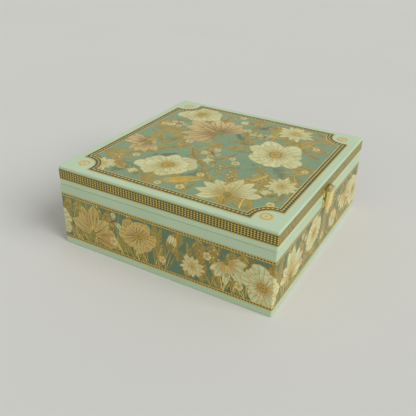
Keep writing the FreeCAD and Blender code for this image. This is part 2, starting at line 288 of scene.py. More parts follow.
def curve_line(length, bend_degrees, steps):
    """Points of a stem from the origin along +X whose heading turns as it goes."""
    points = [(0.0, 0.0)]
    x = y = 0.0
    for i in range(steps):
        heading = math.radians(bend_degrees * ((i + 0.5) / steps))
        x += length / steps * math.cos(heading)
        y += length / steps * math.sin(heading)
        points.append((x, y))
    return points


def heading_at(line, i):
    before = line[max(0, i - 1)]
    after = line[min(len(line) - 1, i + 1)]
    return math.atan2(after[1] - before[1], after[0] - before[0])


def brush(line, start_width, end_width, colour):
    """Brush stroke of one colour along a line of points."""
    left = []
    right = []
    for i, (x, y) in enumerate(line):
        width = start_width + (end_width - start_width) * i / (len(line) - 1)
        angle = heading_at(line, i)
        across = (-math.sin(angle) * width / 2, math.cos(angle) * width / 2)
        left.append((x + across[0], y + across[1]))
        right.append((x - across[0], y - across[1]))
    return Outline(right + left[::-1], colour)


def stem_end(line):
    """Where a motif goes that grows on from the end of a stem."""
    return moved(*line[-1]) @ turned(heading_at(line, len(line) - 1))


# Motifs of the painted panels

# Colours of a bloom's petals, the width of their rims and how many folds are brushed on them
Hues = namedtuple("Hues", "body tip foot line rim rim_width folds")
TOP_CREAM = Hues(CREAM, CREAM_LIGHT, CREAM_SHADE, OCHRE, OCHRE, 0.48, 5)
TOP_TAN = Hues(TAN, TAN_LIGHT, TAN_SHADE, UMBER, TAN_SHADE, 0.48, 5)
SIDE_CREAM = Hues(STRAW, STRAW_LIGHT, HONEY, GOLD_DARK, ORANGE, 0.72, 5)
SIDE_TAN = Hues(HONEY, HONEY_LIGHT, TAN_SHADE, UMBER, GOLD_LIGHT, 0.6, 4)


def petal(draw, length, width, hues, peak=0.62, fullness=0.62, wave=0.06, notch=0.04, bend=0.0,
          count=9.0, folds=None):
    """Petal with a fine rim, fanned lines and a few brushed folds."""
    points = lens(length, width / 2, peak, fullness, 12, bend, wave, draw.uniform(0, 6), notch)
    body = blended(hues.body, hues.tip, draw.random())
    paint = Finish(body, hues.foot, hues.line, 0.9, fanned=1.0, count=count)
    shapes = [Outline(grown(points, hues.rim_width), hues.rim),
              Outline(points, paint, stretched(1 / length, 2 / width))]
    folds = hues.folds if folds is None else folds
    for i in range(folds):
        side = (i + 0.5) / folds * 2 - 1 + draw.uniform(-0.2, 0.2)
        reach = draw.uniform(0.5, 0.85) * length
        fold = [(reach * t + 0.08 * length, side * width * 0.36 * t ** 0.7 + bend * length * t * t)
                for t in (0.0, 0.2, 0.45, 0.7, 1.0)]
        tone = hues.rim if i % 2 else blended(hues.foot, hues.line, 0.5)
        shapes.append(brush(fold, width * 0.035 + hues.rim_width * 0.8, 0.15, tone))
    return shapes


def leaf(draw, length, width, body, rib=None, bend=0.0, peak=0.42, rim=None):
    """Pointed leaf with a rib down its middle and slanted side veins."""
    rib = rib or toned(body, 0.66)
    points = lens(length, width / 2, peak, 0.9, 7, bend, 0.03, draw.uniform(0, 6))
    paint = Finish(body, toned(body, 0.8), rib, 0.5, veined=1.0, count=length * 0.5 + 6)
    axis = [(length * t, bend * length * t * t) for t in (0.0, 0.3, 0.6, 0.93)]
    return [Outline(grown(points, 0.3), rim or toned(body, 0.62)),
            Outline(points, paint, stretched(1 / length, 2 / width)),
            brush(axis, 0.55, 0.15, rib)]


def gilded(draw, length, width, bend, peak=0.42):
    """Leaf in one of the foliage tones: dark with a gold rim and rib, or gold with darker ones."""
    if draw.random() < 0.3:
        body = draw.choice((blended(OLIVE, SAGE_DEEP, 0.45), blended(OLIVE, DUSK, 0.4), OLIVE, GOLD_DARK))
        return leaf(draw, length, width, toned(body, draw.uniform(0.85, 1.05)), GOLD, bend, peak,
                    draw.choice((GOLD, OCHRE)))
    body = draw.choice((GOLD, OCHRE, OCHRE, blended(OCHRE, GOLD_LIGHT, 0.5)))
    return leaf(draw, length, width, toned(body, draw.uniform(0.9, 1.06)), GOLD_DARK, bend, peak,
                toned(GOLD_DARK, 0.85))


def in_pairs(draw, line, reach, swell, jitter, lean, leaflet):
    """Leaflets in pairs along a stem, longest towards its middle and leaning on towards its end."""
    shapes = []
    for i in range(1, len(line) - 1):
        share = i / (len(line) - 1)
        size = reach * math.sin(math.pi * (swell[0] + swell[1] * share)) * draw.uniform(*jitter)
        for side in (1, -1):
            angle = heading_at(line, i) + side * math.radians(lean[0] - lean[1] * share)
            shapes += placed(leaflet(size, side), moved(*line[i]) @ turned(angle))
    return shapes


def plume(draw, body, length, bend, reach):
    """Broad leaf cut into rounded lobes, each with its own vein."""
    def lobe(size, side):
        shade = toned(blended(body, OLIVE, draw.uniform(0.0, 0.4)), draw.uniform(0.9, 1.06))
        return leaf(draw, size, size * 0.42, shade, GOLD_LIGHT, -0.12 * side, 0.62, GOLD_DARK)

    line = curve_line(length, bend, 9)
    shapes = in_pairs(draw, line, reach, (0.2, 0.7), (0.92, 1.08), (54, 22), lobe)
    tip = leaf(draw, reach * 0.7, reach * 0.3, body, GOLD_LIGHT, rim=GOLD_DARK)
    return shapes + placed(tip, stem_end(line)) + [brush(line, 1.5, 0.5, GOLD_LIGHT)]


def sheaf(draw, size):
    """Long arching blades that rise from one foot, the outer ones bowed the most."""
    shapes = []
    for angle in shuffled(draw, fan(80, 8)):
        lean = angle + draw.uniform(-5, 5)
        length = size * draw.uniform(0.6, 1.0)
        blade = gilded(draw, length, length * 0.045 + 1.2, lean * 0.0035 + draw.uniform(-0.12, 0.12), 0.36)
        shapes += placed(blade, turned(math.radians(lean)))
    return shapes


def stamens(draw, reach, count, dot):
    """Threads with pollen tips, then a mound of small seeds in the middle."""
    shapes = []
    for angle in ring(count):
        spin = turned(angle + draw.uniform(-0.1, 0.1))
        length = reach * draw.uniform(0.72, 1.08)
        thread = curve_line(length, draw.uniform(-24, 24), 4)
        tip = placed([oval(dot * 1.5, dot, 7, GOLD_LIGHT)], moved(*thread[-1]))
        shapes += placed([brush(thread, 0.5, 0.28, GOLD_DARK)] + tip, spin)
    for i in range(count):
        angle = i * 2.4
        radius = reach * 0.62 * math.sqrt(i / count)
        shade = draw.choice((GOLD, GOLD_DARK, OCHRE, GOLD_LIGHT))
        seed = placed([oval(dot * 1.5, dot * 1.1, 7, shade)], turned(angle))
        shapes += placed(seed, moved(radius * math.cos(angle), radius * math.sin(angle)))
    return shapes


def peony(draw, size, hues=TOP_CREAM):
    """Open bloom with broad waved petals about a large golden heart."""
    shapes = []
    for count, reach, width, offset in ((8, 0.53, 0.36, 0.0), (6, 0.39, 0.31, 0.35)):
        for way in shuffled(draw, ring(count, offset)):
            angle = way + draw.uniform(-0.17, 0.17)
            one = petal(draw, size * reach * draw.uniform(0.82, 1.1), size * width * draw.uniform(0.8, 1.12),
                        hues, peak=draw.uniform(0.56, 0.68), wave=0.13, notch=draw.uniform(0.0, 0.14),
                        bend=draw.uniform(-0.14, 0.14))
            shapes += placed(one, turned(angle))
    heart = [oval(size * 0.25, size * 0.22, 14, toned(GOLD_DARK, 1.1)),
             oval(size * 0.22, size * 0.18, 12, GOLD)]
    return shapes + heart + stamens(draw, size * 0.15, 20, size * 0.016)


def lily(draw, size, hues=TOP_TAN, spread=210, count=9):
    """Trumpet bloom seen from the side: pointed petals fan out of one throat."""
    shapes = []
    for angle in sorted(fan(spread, count), key=abs, reverse=True):
        reach = size * (0.62 - 0.0011 * abs(angle)) * draw.uniform(0.9, 1.08)
        one = petal(draw, reach, size * draw.uniform(0.18, 0.26), hues, peak=0.6, fullness=0.85,
                    wave=0.09, notch=0.0, bend=math.copysign(draw.uniform(0.04, 0.2), angle), count=7.0)
        shapes += placed(one, turned(math.radians(angle + draw.uniform(-5, 5))))
    for i in range(5):
        thread = curve_line(size * draw.uniform(0.3, 0.42), draw.uniform(-20, 20), 5)
        bead = placed([oval(2.4, 1.2, 7, GOLD_DARK)], moved(*thread[-1]))
        shapes += placed([brush(thread, 0.55, 0.3, GOLD_LIGHT)] + bead,
                         turned(math.radians(draw.uniform(-22, 22))))
    cup = leaf(draw, size * 0.2, size * 0.13, OLIVE, peak=0.5)
    return shapes + placed(cup, moved(-size * 0.09, 0))


def daisy(draw, size, hues=TOP_CREAM):
    """Flat bloom of narrow pointed petals in two rings."""
    shapes = []
    for reach, width, offset in ((0.5, 0.145, 0.0), (0.38, 0.12, 0.5)):
        for way in ring(13, offset):
            angle = way + draw.uniform(-0.07, 0.07)
            one = petal(draw, size * reach * draw.uniform(0.84, 1.1), size * width, hues, peak=0.6,
                        fullness=0.9, wave=0.03, notch=0.0, bend=draw.uniform(-0.12, 0.12), count=5.0,
                        folds=1)
            shapes += placed(one, turned(angle))
    return shapes + stamens(draw, size * 0.1, 15, size * 0.022)


def floret(draw, size, hues=TOP_CREAM):
    """Small five-petalled flower."""
    shapes = []
    for angle in ring(5):
        one = petal(draw, size * 0.5, size * 0.42, hues, fullness=0.6, count=5.0, folds=0)
        shapes += placed(one, turned(angle + draw.uniform(-0.1, 0.1)))
    return shapes + [oval(size * 0.24, size * 0.24, 8, GOLD_DARK),
                     oval(size * 0.13, size * 0.13, 6, GOLD_LIGHT)]


def bud(draw, stem, stem_bend, hues=TOP_CREAM):
    """Closed bud of three petals in a cup of sepals, on its stem."""
    size = 17
    line = curve_line(stem, stem_bend, 10)
    shapes = placed([brush(line, 1.3, 0.9, GOLD_DARK), brush(line, 0.7, 0.4, GOLD)], turned(math.pi))
    for angle, width in ((0.2, 0.4), (-0.2, 0.4), (0.0, 0.44)):
        one = petal(draw, size, size * width, hues, peak=0.45, fullness=0.8, notch=0.0, count=6.0)
        shapes += placed(one, turned(angle))
    for angle in (0.5, -0.5, 0.0):
        shapes += placed(leaf(draw, size * 0.5, size * 0.17, OLIVE), turned(angle))
    return shapes


def spray(draw, length, bend, leaves, leaf_length, leaf_width, body=None, stem=OCHRE):
    """Curved stem with leaves in pairs that get smaller towards the tip."""
    line = curve_line(length, bend, 2 * leaves + 2)
    shapes = [brush(line, 2.1, 0.8, toned(stem, 0.6)), brush(line, 1.4, 0.45, stem)]
    for i in range(1, len(line)):
        share = i / (len(line) - 1)
        side = 1 if i % 2 else -1
        size = (1.15 - 0.55 * share) * draw.uniform(0.85, 1.15)
        bow = side * -draw.uniform(0.02, 0.16)
        if body:
            shade = toned(body, draw.uniform(0.88, 1.08))
            one = leaf(draw, leaf_length * size, leaf_width * size, shade, bend=bow)
        else:
            one = gilded(draw, leaf_length * size, leaf_width * size, bow)
        angle = heading_at(line, i) + side * math.radians(draw.uniform(28, 52) * (1.1 - 0.5 * share))
        shapes += placed(one, moved(*line[i]) @ turned(angle))
    end = leaf(draw, leaf_length * 0.75, leaf_width * 0.65, body or OCHRE)
    return shapes + placed(end, stem_end(line))


def fern(draw, length, bend):
    """Feathery frond of slender leaflets, in one of the foliage tones."""
    body = draw.choice((OCHRE, GOLD, OLIVE))

    def leaflet(size, side):
        points = lens(size, size * 0.085 + 0.25, 0.45, 0.9, 4, bend=-0.14 * side)
        return [Outline(points, toned(body, draw.uniform(0.85, 1.12)))]

    line = curve_line(length, bend, 13)
    shapes = in_pairs(draw, line, length * 0.24, (0.16, 0.8), (0.9, 1.1), (56, 20), leaflet)
    return shapes + [brush(line, 0.95, 0.3, toned(body, 0.75))]


def grasses(draw, size):
    """Long blades from one foot, each a gold stroke laid in a dark one."""
    shapes = []
    for lean in fan(44, 6):
        angle = lean + draw.uniform(-6, 6)
        line = curve_line(size * draw.uniform(0.6, 1.0), angle * 0.5 + draw.uniform(-18, 18), 8)
        width = draw.uniform(1.0, 1.9)
        shade = toned(draw.choice((GOLD, OCHRE, OCHRE, OLIVE, GOLD_LIGHT)), draw.uniform(0.94, 1.18))
        shapes += placed([brush(line, width + 0.8, 0.5, DUSK), brush(line, width, 0.2, shade)],
                         turned(math.radians(angle)))
    return shapes


def berries(draw, length, bend, count=7, size=2.6):
    """Thin branching stem with a round berry at the end of each twig."""
    line = curve_line(length, bend, count + 1)
    shapes = [brush(line, 0.8, 0.3, GOLD_DARK)]
    for i in range(1, len(line)):
        side = 1 if i % 2 else -1
        angle = heading_at(line, i) + side * math.radians(draw.uniform(30, 58))
        twig = curve_line(size * draw.uniform(1.1, 2.2), side * -30, 4)
        place = moved(*line[i]) @ turned(angle)
        shapes += placed([brush(twig, 0.55, 0.35, GOLD_DARK)], place)
        bead = [oval(size * 1.16, size * 1.16, 9, UMBER), oval(size, size, 9, GOLD_LIGHT),
                oval(size * 0.4, size * 0.34, 6, CREAM_LIGHT, -size * 0.12, size * 0.14)]
        shapes += placed(bead, place @ moved(*twig[-1]))
    return shapes


def tendril(draw, size):
    """Thin stroke that winds up into a curl."""
    line = []
    steps = 26
    turns = 1.4
    for i in range(steps + 1):
        share = i / steps
        radius = size * (1 - 0.82 * share)
        angle = 2 * math.pi * turns * share
        line.append((size - radius * math.cos(angle), radius * math.sin(angle)))
    return [brush(line, 0.85, 0.3, toned(GOLD, draw.uniform(0.85, 1.05)))]


def butterfly(draw, size, body=CREAM, second=TAN):
    """Butterfly with open wings, seen from above."""
    shapes = []
    for side in (1, -1):
        for angle, length, width, shade in ((142, 0.42, 0.30, second), (58, 0.56, 0.34, body)):
            hues = Hues(shade, shade, toned(shade, 0.7), UMBER, GOLD_DARK, 0.42, 0)
            wing = petal(draw, size * length, size * width, hues, peak=0.66, fullness=0.55)
            spot = placed([oval(size * 0.1, size * 0.09, 8, GOLD_DARK),
                           oval(size * 0.05, size * 0.045, 6, GOLD_LIGHT)], moved(size * length * 0.76, 0))
            shapes += placed(wing + spot, turned(math.radians(angle * side)))
        feeler = curve_line(size * 0.34, side * 40, 6)
        shapes += placed([brush(feeler, 0.4, 0.22, UMBER)], turned(math.radians(14 * side)))
    trunk = lens(size * 0.5, size * 0.045, 0.6, 0.7, 6)
    return shapes + placed([Outline(trunk, UMBER)], moved(-size * 0.3, 0))


def shadow_leaves(draw, count, low, high, ground):
    """Pale and deep leaves that lie behind everything else, in tones near the ground colour."""
    shapes = []
    for i in range(count):
        x = draw.uniform(low[0], high[0])
        y = draw.uniform(low[1], high[1])
        tint, share = draw.choice(((SAGE_LIGHT, 0.7), (DUSK, 0.25), (DUSK, 0.45), (OLIVE, 0.5), (OCHRE, 0.4)))
        tone = blended(ground, tint, share)
        length = draw.uniform(20, 34)
        shapes += at(spray(draw, length, draw.uniform(-50, 50), 4, 12, 4.2, tone, toned(tone, 0.8)),
                     x, y, draw.uniform(0, 360))
    return shapes


def panel_painting():
    """The flowers of the lid's top, composed about a garland from front right to back left."""
    draw = random.Random(41)

    def branch(length, bend, leaves):
        return spray(draw, length, bend, leaves, length * 0.23, length * 0.064)

    def twig(length, bend):
        return spray(draw, length, bend, 8, length * 0.17, length * 0.034, stem=GOLD_DARK)

    art = shadow_leaves(draw, 26, (-105, -105), (105, 105), GROUND)
    art += planted(branch, (
        (-104, -92, 62, 66, -26, 8), (-108, -20, 38, 60, 30, 7), (-96, 60, 70, 52, -46, 7),
        (-40, 104, -38, 58, 34, 7), (18, 108, -62, 54, -40, 7), (104, 108, -128, 62, 30, 8),
        (108, 34, 168, 52, -34, 7), (108, -20, 200, 60, 40, 7), (60, -108, 96, 58, -30, 7),
        (-18, -108, 118, 50, 44, 7), (-58, -108, 70, 60, -34, 7), (20, 6, 150, 56, 40, 7),
        (4, -4, -28, 54, -38, 7), (-22, 40, 14, 50, 46, 7), (40, 88, -160, 46, 40, 6),
        (-104, -50, -10, 40, 40, 6), (-84, 4, -70, 40, 40, 6), (100, -96, 150, 46, -36, 6),
        (30, -22, 20, 44, 40, 6), (-40, -36, -160, 44, 36, 6), (70, 50, 100, 40, -40, 6)))
    art += planted(partial(fern, draw), (
        (-70, -22, 118, 44, 30), (44, 40, 64, 42, -40), (84, -84, 150, 48, 30), (-30, -60, 200, 40, -30),
        (-100, 20, -60, 40, 30), (66, 4, -100, 44, 24), (-8, 84, 190, 42, 30), (-84, -60, 40, 36, 50),
        (14, 18, 80, 40, 40), (-10, -96, 30, 40, 40), (60, 96, -20, 40, -30)))
    art += planted(partial(plume, draw, OLIVE), (
        (-108, -78, 24, 44, -50, 15), (108, -44, 150, 44, 40, 15), (-30, -72, 170, 42, -50, 13)))
    art += planted(twig, (
        (-70, 100, -64, 60, 40), (-44, 66, -20, 56, -50), (-10, 30, -160, 50, 50), (26, 4, -60, 52, 60),
        (58, 58, -150, 56, 40), (100, 40, -170, 50, -40), (0, -20, 170, 54, -60), (-30, -40, 110, 46, 50),
        (70, -70, 130, 52, 40), (-74, -30, 60, 54, -40), (-100, 30, 10, 46, 60), (10, 100, -110, 50, -50),
        (100, -10, 150, 48, 50), (-58, -100, 64, 50, 50), (36, -104, 80, 46, -60), (-14, 66, -30, 46, 60)))
    art += planted(partial(sheaf, draw), (
        (-110, -60, 20, 46), (0, -111, 88, 42), (111, 66, 190, 44), (-70, 111, -84, 42), (92, -111, 100, 40),
        (-40, -111, 80, 34), (111, 0, 180, 36), (40, 111, -95, 34), (-111, 30, 0, 34)))
    art += planted(partial(berries, draw), (
        (-62, -66, 96, 34, -60), (30, 62, 20, 36, 70), (62, -30, 60, 34, 50), (-20, 10, -150, 36, 50),
        (-104, 96, -30, 34, 40)))
    art += planted(partial(tendril, draw), (
        (-50, -30, 40, 7), (78, 28, 200, 8), (-6, 58, 120, 7), (36, -96, 10, 7), (-88, 24, 300, 7),
        (96, -20, 80, 7)))
    art += planted(partial(bud, draw), (
        (-34, -12, 74, 34, 24), (96, 4, 112, 30, 24), (-100, 44, 60, 26, 24), (50, 96, 200, 26, 24),
        (-72, -96, 60, 24, 24)))
    art += at(lily(draw, 78), 44, 26, 62)
    art += at(lily(draw, 62, TOP_CREAM, spread=200, count=8), -90, -56, 28)
    art += at(lily(draw, 50, spread=180, count=7), -22, 84, 152)
    for bloom, size, x, y, degrees, squash, squash_turn in (
            (peony, 74, 22, -58, 20, 0.86, 30), (peony, 66, -64, 30, 200, 0.84, -50),
            (peony, 60, 88, 76, 75, 0.9, 10), (daisy, 50, 92, -54, 10, 0.85, 60),
            (daisy, 42, -46, -94, 35, 0.8, 20), (daisy, 36, -98, 92, 0, 0.85, 100)):
        art += at(bloom(draw, size), x, y, degrees, squash, squash_turn)
    for x, y, size in ((-22, -30, 10), (-14, -22, 8), (70, 0, 10), (62, -10, 8), (4, 44, 10), (12, 52, 8),
                       (-66, -12, 9), (-100, -8, 10), (36, 100, 9), (-60, 74, 9), (60, -92, 9), (-2, -102, 8),
                       (106, 24, 9), (-104, 16, 8), (50, 64, 8), (-86, -100, 9)):
        art += at(floret(draw, size), x, y, draw.uniform(0, 72))
    art += at(butterfly(draw, 30), -12, 4, 50, 0.85, 20)
    art += at(butterfly(draw, 24, TAN_LIGHT, CREAM), 46, 84, 140, 0.8, 70)
    return art + at(butterfly(draw, 22), 62, -26, 20, 0.8, -30)


def frieze_painting(length, low, high):
    """The flowers that run round the four sides, from one side's quarter to the next."""
    draw = random.Random(7)
    middle = (low + high) / 2
    quarter = length / 4
    tufts = 132
    berry_twigs = 14
    art = shadow_leaves(draw, 60, (0, low), (length, high), GROUND_SIDE)
    for count, sway, reach, leaves, foot, upright in ((52, 50, (26, 38), (6, 9, 2.5), high + 2, -90),
                                                      (44, 40, (30, 46), (7, 9.5, 2.6), low - 2, 90)):
        for i in range(count):
            x = length * (i + draw.uniform(0.1, 0.9)) / count
            lean = draw.uniform(-sway, sway)
            art += at(spray(draw, draw.uniform(*reach), lean, *leaves), x, foot, upright - lean * 0.6)
    for i in range(tufts):
        share = (i + draw.uniform(0.1, 0.9)) / tufts
        clearing = 0.56 < share * 4 % 1 < 0.74 or 0.6 < share * 2 % 1 < 0.69
        if not clearing:
            art += at(grasses(draw, draw.uniform(32, 62)), share * length, low - 2,
                      90 + draw.uniform(-22, 32))
    for i in range(berry_twigs):
        art += at(berries(draw, 26, draw.uniform(-60, 60), 6, 2.3),
                  length * (i + draw.random()) / berry_twigs, draw.uniform(low + 8, high - 8),
                  draw.uniform(0, 180))
    for side in range(4):
        start = quarter * side
        warm = SIDE_CREAM if side % 2 else SIDE_TAN
        art += at(lily(draw, 54, warm, 180, 7), start + 0.16 * quarter, low + 12, 78)
        art += at(peony(draw, 46, warm), start + 0.40 * quarter, middle + 5, 40 * side, 0.86, 20)
        art += at(bud(draw, 30, -20, SIDE_CREAM), start + 0.55 * quarter, middle + 2, 74)
        art += at(daisy(draw, 28, SIDE_CREAM), start + 0.655 * quarter, middle - 9, 17 * side, 0.88, -30)
        art += at(lily(draw, 42, SIDE_CREAM, 160, 6), start + 0.80 * quarter, high - 14, -64)
        art += at(peony(draw, 48, SIDE_CREAM), start + 0.955 * quarter, middle - 5, 70 * side, 0.84, -40)
        art += at(butterfly(draw, 20, STRAW, HONEY), start + 0.275 * quarter, high - 12, 30 + 25 * side)
        for share, height in ((0.27, 12), (0.515, 11), (0.72, 34), (0.86, 12)):
            art += at(floret(draw, draw.uniform(8, 10), SIDE_CREAM), start + share * quarter, low + height,
                      20 * side)
    return art


# Borders of the painted panels

def edges_of(loop):
    """Each member of a closed loop with the one after it."""
    return zip(loop, loop[1:] + loop[:1])


def notched(depth):
    """The panel's outline, a given depth inside its outer edge, with scooped corners."""
    edge = panel_edge - depth
    tip = panel_edge - notch_reach - depth
    center = panel_edge - notch_reach + notch_radius
    radius = notch_radius + depth
    corner = [(edge, tip)]
    for i in range(notch_steps + 1):
        angle = math.radians(270 - 90 * i / notch_steps)
        corner.append((center + radius * math.cos(angle), center + radius * math.sin(angle)))
    corner.append((tip, edge))
    points = []
    for quarter in range(4):
        spin = turned(math.radians(90 * quarter))
        points += [(spin @ Vector((x, y, 1)))[:2] for x, y in corner]
    return points


def strung(motif, depth, offset=0.0):
    """Copies of a small motif, evenly spaced round the panel at a depth and turned with its outline."""
    edges = list(edges_of([Vector(point) for point in notched(depth)]))
    total = sum((b - a).length for a, b in edges)
    count = round(total / rope_pitch)
    goals = sorted(total * ((i + offset) % count) / count for i in range(count))
    shapes = []
    walked = 0.0
    for a, b in edges:
        run = (b - a).length
        while goals and goals[0] <= walked + run:
            place = a.lerp(b, (goals.pop(0) - walked) / run)
            angle = math.atan2(b.y - a.y, b.x - a.x)
            shapes += placed(motif, moved(place.x, place.y) @ turned(angle))
        walked += run
    return shapes


def panel_border():
    """Gold line, dark stripe, beaded rope, dark stripe and gold line, from the outside in."""
    rope = rope_end - outer_stripe_end
    outer_middle = (edge_line + outer_stripe_end) / 2
    beads = [oval(3.1, rope * 0.9, 10, FRAME_GOLD), oval(1.8, rope * 0.55, 8, GOLD_LIGHT)]
    return [Outline(notched(0.0), FRAME_GOLD), Outline(notched(edge_line), STRIPE),
            *strung([oval(2.6, 1.5, 8, DEEP)], outer_middle, 0.5),
            *strung([oval(1.0, 1.7, 8, toned(OLIVE, 0.66))], outer_middle),
            Outline(notched(outer_stripe_end), toned(OLIVE, 0.5)),
            *strung(beads, (outer_stripe_end + rope_end) / 2),
            Outline(notched(rope_end), STRIPE),
            *strung([oval(2.4, 0.9, 8, DEEP)], (rope_end + inner_stripe_end) / 2, 0.5),
            Outline(notched(inner_stripe_end), FRAME_GOLD),
            *strung([oval(2.0, 0.55, 8, GOLD_LIGHT)], (inner_stripe_end + frame_end) / 2)]


def strip(start, end, low, high, paint):
    return Outline([(start, low), (end, low), (end, high), (start, high)], paint)


def rope_border(length, low):
    """Dark beads strung between two rows of gold beads."""
    middle = low + border_height / 2
    count = round(length / border_pitch)
    pitch = length / count
    dark = [(-1.15, -0.1), (-0.6, -0.75), (0.7, -0.66), (1.15, 0.1), (0.6, 0.75), (-0.7, 0.66)]
    bead = [oval(2.7, 0.86, 8, FRAME_GOLD), oval(1.5, 0.42, 6, GOLD_LIGHT)]
    shapes = [strip(0.0, length, low, low + border_height, toned(WEAVE_GOLD, 0.66))]
    for i in range(count):
        x = (i + 0.5) * pitch
        shapes += placed([Outline(dark, DEEP)], moved(x, middle))
        for side in (-1, 1):
            y = middle + side * (border_height / 2 - border_bead_inset)
            shapes += placed(bead, moved(x + side * pitch / 4, y))
        shapes += placed([oval(0.8, 1.1, 6, WEAVE_GOLD)], moved(x + pitch / 2, middle))
    return shapes


def basket_weave(length, low, high):
    """Rows of dark gaps between woven gold strands, with a beaded line along both edges."""
    count = round(length / weave_pitch_along)
    pitch = length / count
    row = (high - low - 2 * weave_edge) / weave_rows
    gap = [(-1.3, 0.0), (-0.85, -0.68), (0.85, -0.68), (1.3, 0.0), (0.85, 0.68), (-0.85, 0.68)]
    knot = [oval(2.1, 1.1, 8, WEAVE_GOLD), oval(1.2, 0.55, 6, GOLD_LIGHT)]
    shapes = [strip(0.0, length, low, high, WEAVE_SHADE)]
    for i in range(count):
        x = (i + 0.5) * pitch
        for j in range(weave_rows):
            y = low + weave_edge + (j + 0.5) * row
            shapes += placed([Outline(gap, DEEP)], moved(x, y))
            if j:
                shapes += placed(knot, moved(x - pitch / 2, y - row / 2))
        for y in (low + weave_edge / 2, high - weave_edge / 2):
            shapes += placed([oval(2.4, 0.5, 6, GOLD_LIGHT)], moved(x, y))
    return shapes


# From flat drawings to meshes

def overlapping(outlines, start, end, length):
    """The outlines that reach into a stretch of the strip, whose two ends meet."""
    result = []
    for outline in outlines:
        low = min(x for x, y in outline.points)
        high = max(x for x, y in outline.points)
        for shift in (-length, 0, length):
            if low + shift < end and high + shift > start:
                result += placed([outline], moved(shift, 0)) if shift else [outline]
    return result


def showing(outlines, window):
    """Drops the art that other art covers or that lies outside the window, found on a grid of places."""
    frame_points = np.array(outlines[window].points)
    origin = frame_points.min(axis=0)
    count_x, count_y = np.ceil((frame_points.max(axis=0) - origin) / look_step).astype(int)
    xs = origin[0] + look_step * (np.arange(count_x) + 0.5)
    ys = origin[1] + look_step * (np.arange(count_y) + 0.5)
    top = np.full((count_y, count_x), -1)
    for number in range(window, len(outlines)):
        points = np.array(outlines[number].points)
        first = np.maximum(np.floor((points.min(axis=0) - origin) / look_step).astype(int), 0)
        last = np.ceil((points.max(axis=0) - origin) / look_step).astype(int)
        columns = slice(first[0], max(last[0], 0))
        rows = slice(first[1], max(last[1], 0))
        x, y = np.meshgrid(xs[columns], ys[rows])
        inside = np.zeros(x.shape, bool)
        for (ax, ay), (bx, by) in zip(points, np.roll(points, -1, axis=0)):
            if ay != by:
                inside ^= ((ay > y) != (by > y)) & (x < (bx - ax) * (y - ay) / (by - ay) + ax)
        covered = top[rows, columns]
        covered[inside & ((covered >= window) | (number == window))] = number
    counts = np.bincount(top[top >= 0], minlength=len(outlines))
    return [outline for number, outline in enumerate(outlines) if number <= window or counts[number] > 1]


def top_triangles(outlines, window):
    """Cuts all the outlines up together; each triangle keeps the one on top, art only in the window."""
    points = []
    loops = []
    for outline in outlines:
        first = len(points)
        points += [Vector(point) for point in outline.points]
        loops.append(list(range(first, len(points))))
    spots, _, triangles, _, _, owners = delaunay_2d_cdt(points, [], loops, 1, join_distance)
    faces = []
    tops = []
    for triangle, owner in zip(triangles, owners):
        if 0 in owner:
            faces.append(triangle)
            tops.append(max(owner if window in owner else [number for number in owner if number < window]))
    return spots, faces, tops


def renumbered(groups):
    """The numbers that groups of them use, in order, and the groups written as places in that list."""
    used = sorted({i for group in groups for i in group})
    place_of = {old: new for new, old in enumerate(used)}
    return used, [tuple(place_of[i] for i in group) for group in groups]


def flattened(outlines, window, creases=()):
    """One layer of triangles with the visible rims as its only inner lines, besides the creases."""
    spots, faces, tops = top_triangles(outlines, window)
    sides = {}
    for triangle, top in zip(faces, tops):
        for a, b in edges_of(triangle):
            sides.setdefault((min(a, b), max(a, b)), []).append(top)
    used, edges = renumbered([edge for edge, found in sides.items()
                              if len(found) == 1 or found[0] != found[1]])
    points = [spots[i] for i in used]
    for crease in creases:
        edges.append((len(points), len(points) + 1))
        points += [Vector(end) for end in crease]
    clean, _, triangles, _, _, _ = delaunay_2d_cdt(points, edges, [], 0, join_distance)
    layer = BVHTree.FromPolygons([(spot.x, spot.y, 0) for spot in spots], faces)
    clean_faces = []
    clean_tops = []
    for triangle in triangles:
        middle = sum((clean[i] for i in triangle), Vector((0, 0))) / 3
        found = layer.ray_cast(Vector((middle.x, middle.y, 1)), Vector((0, 0, -1)))[2]
        if found is not None:
            clean_faces.append(triangle)
            clean_tops.append(tops[found])
    used, clean_faces = renumbered(clean_faces)
    return [tuple(clean[i]) for i in used], clean_faces, clean_tops


def rim_loop(faces):
    """The outer rim of a sheet of triangles, in order."""
    edges = dict.fromkeys(edge for triangle in faces for edge in edges_of(triangle))
    after = {a: b for a, b in edges if (b, a) not in edges}
    loop = [next(iter(after))]
    while after[loop[-1]] != loop[0]:
        loop.append(after[loop[-1]])
    return loop


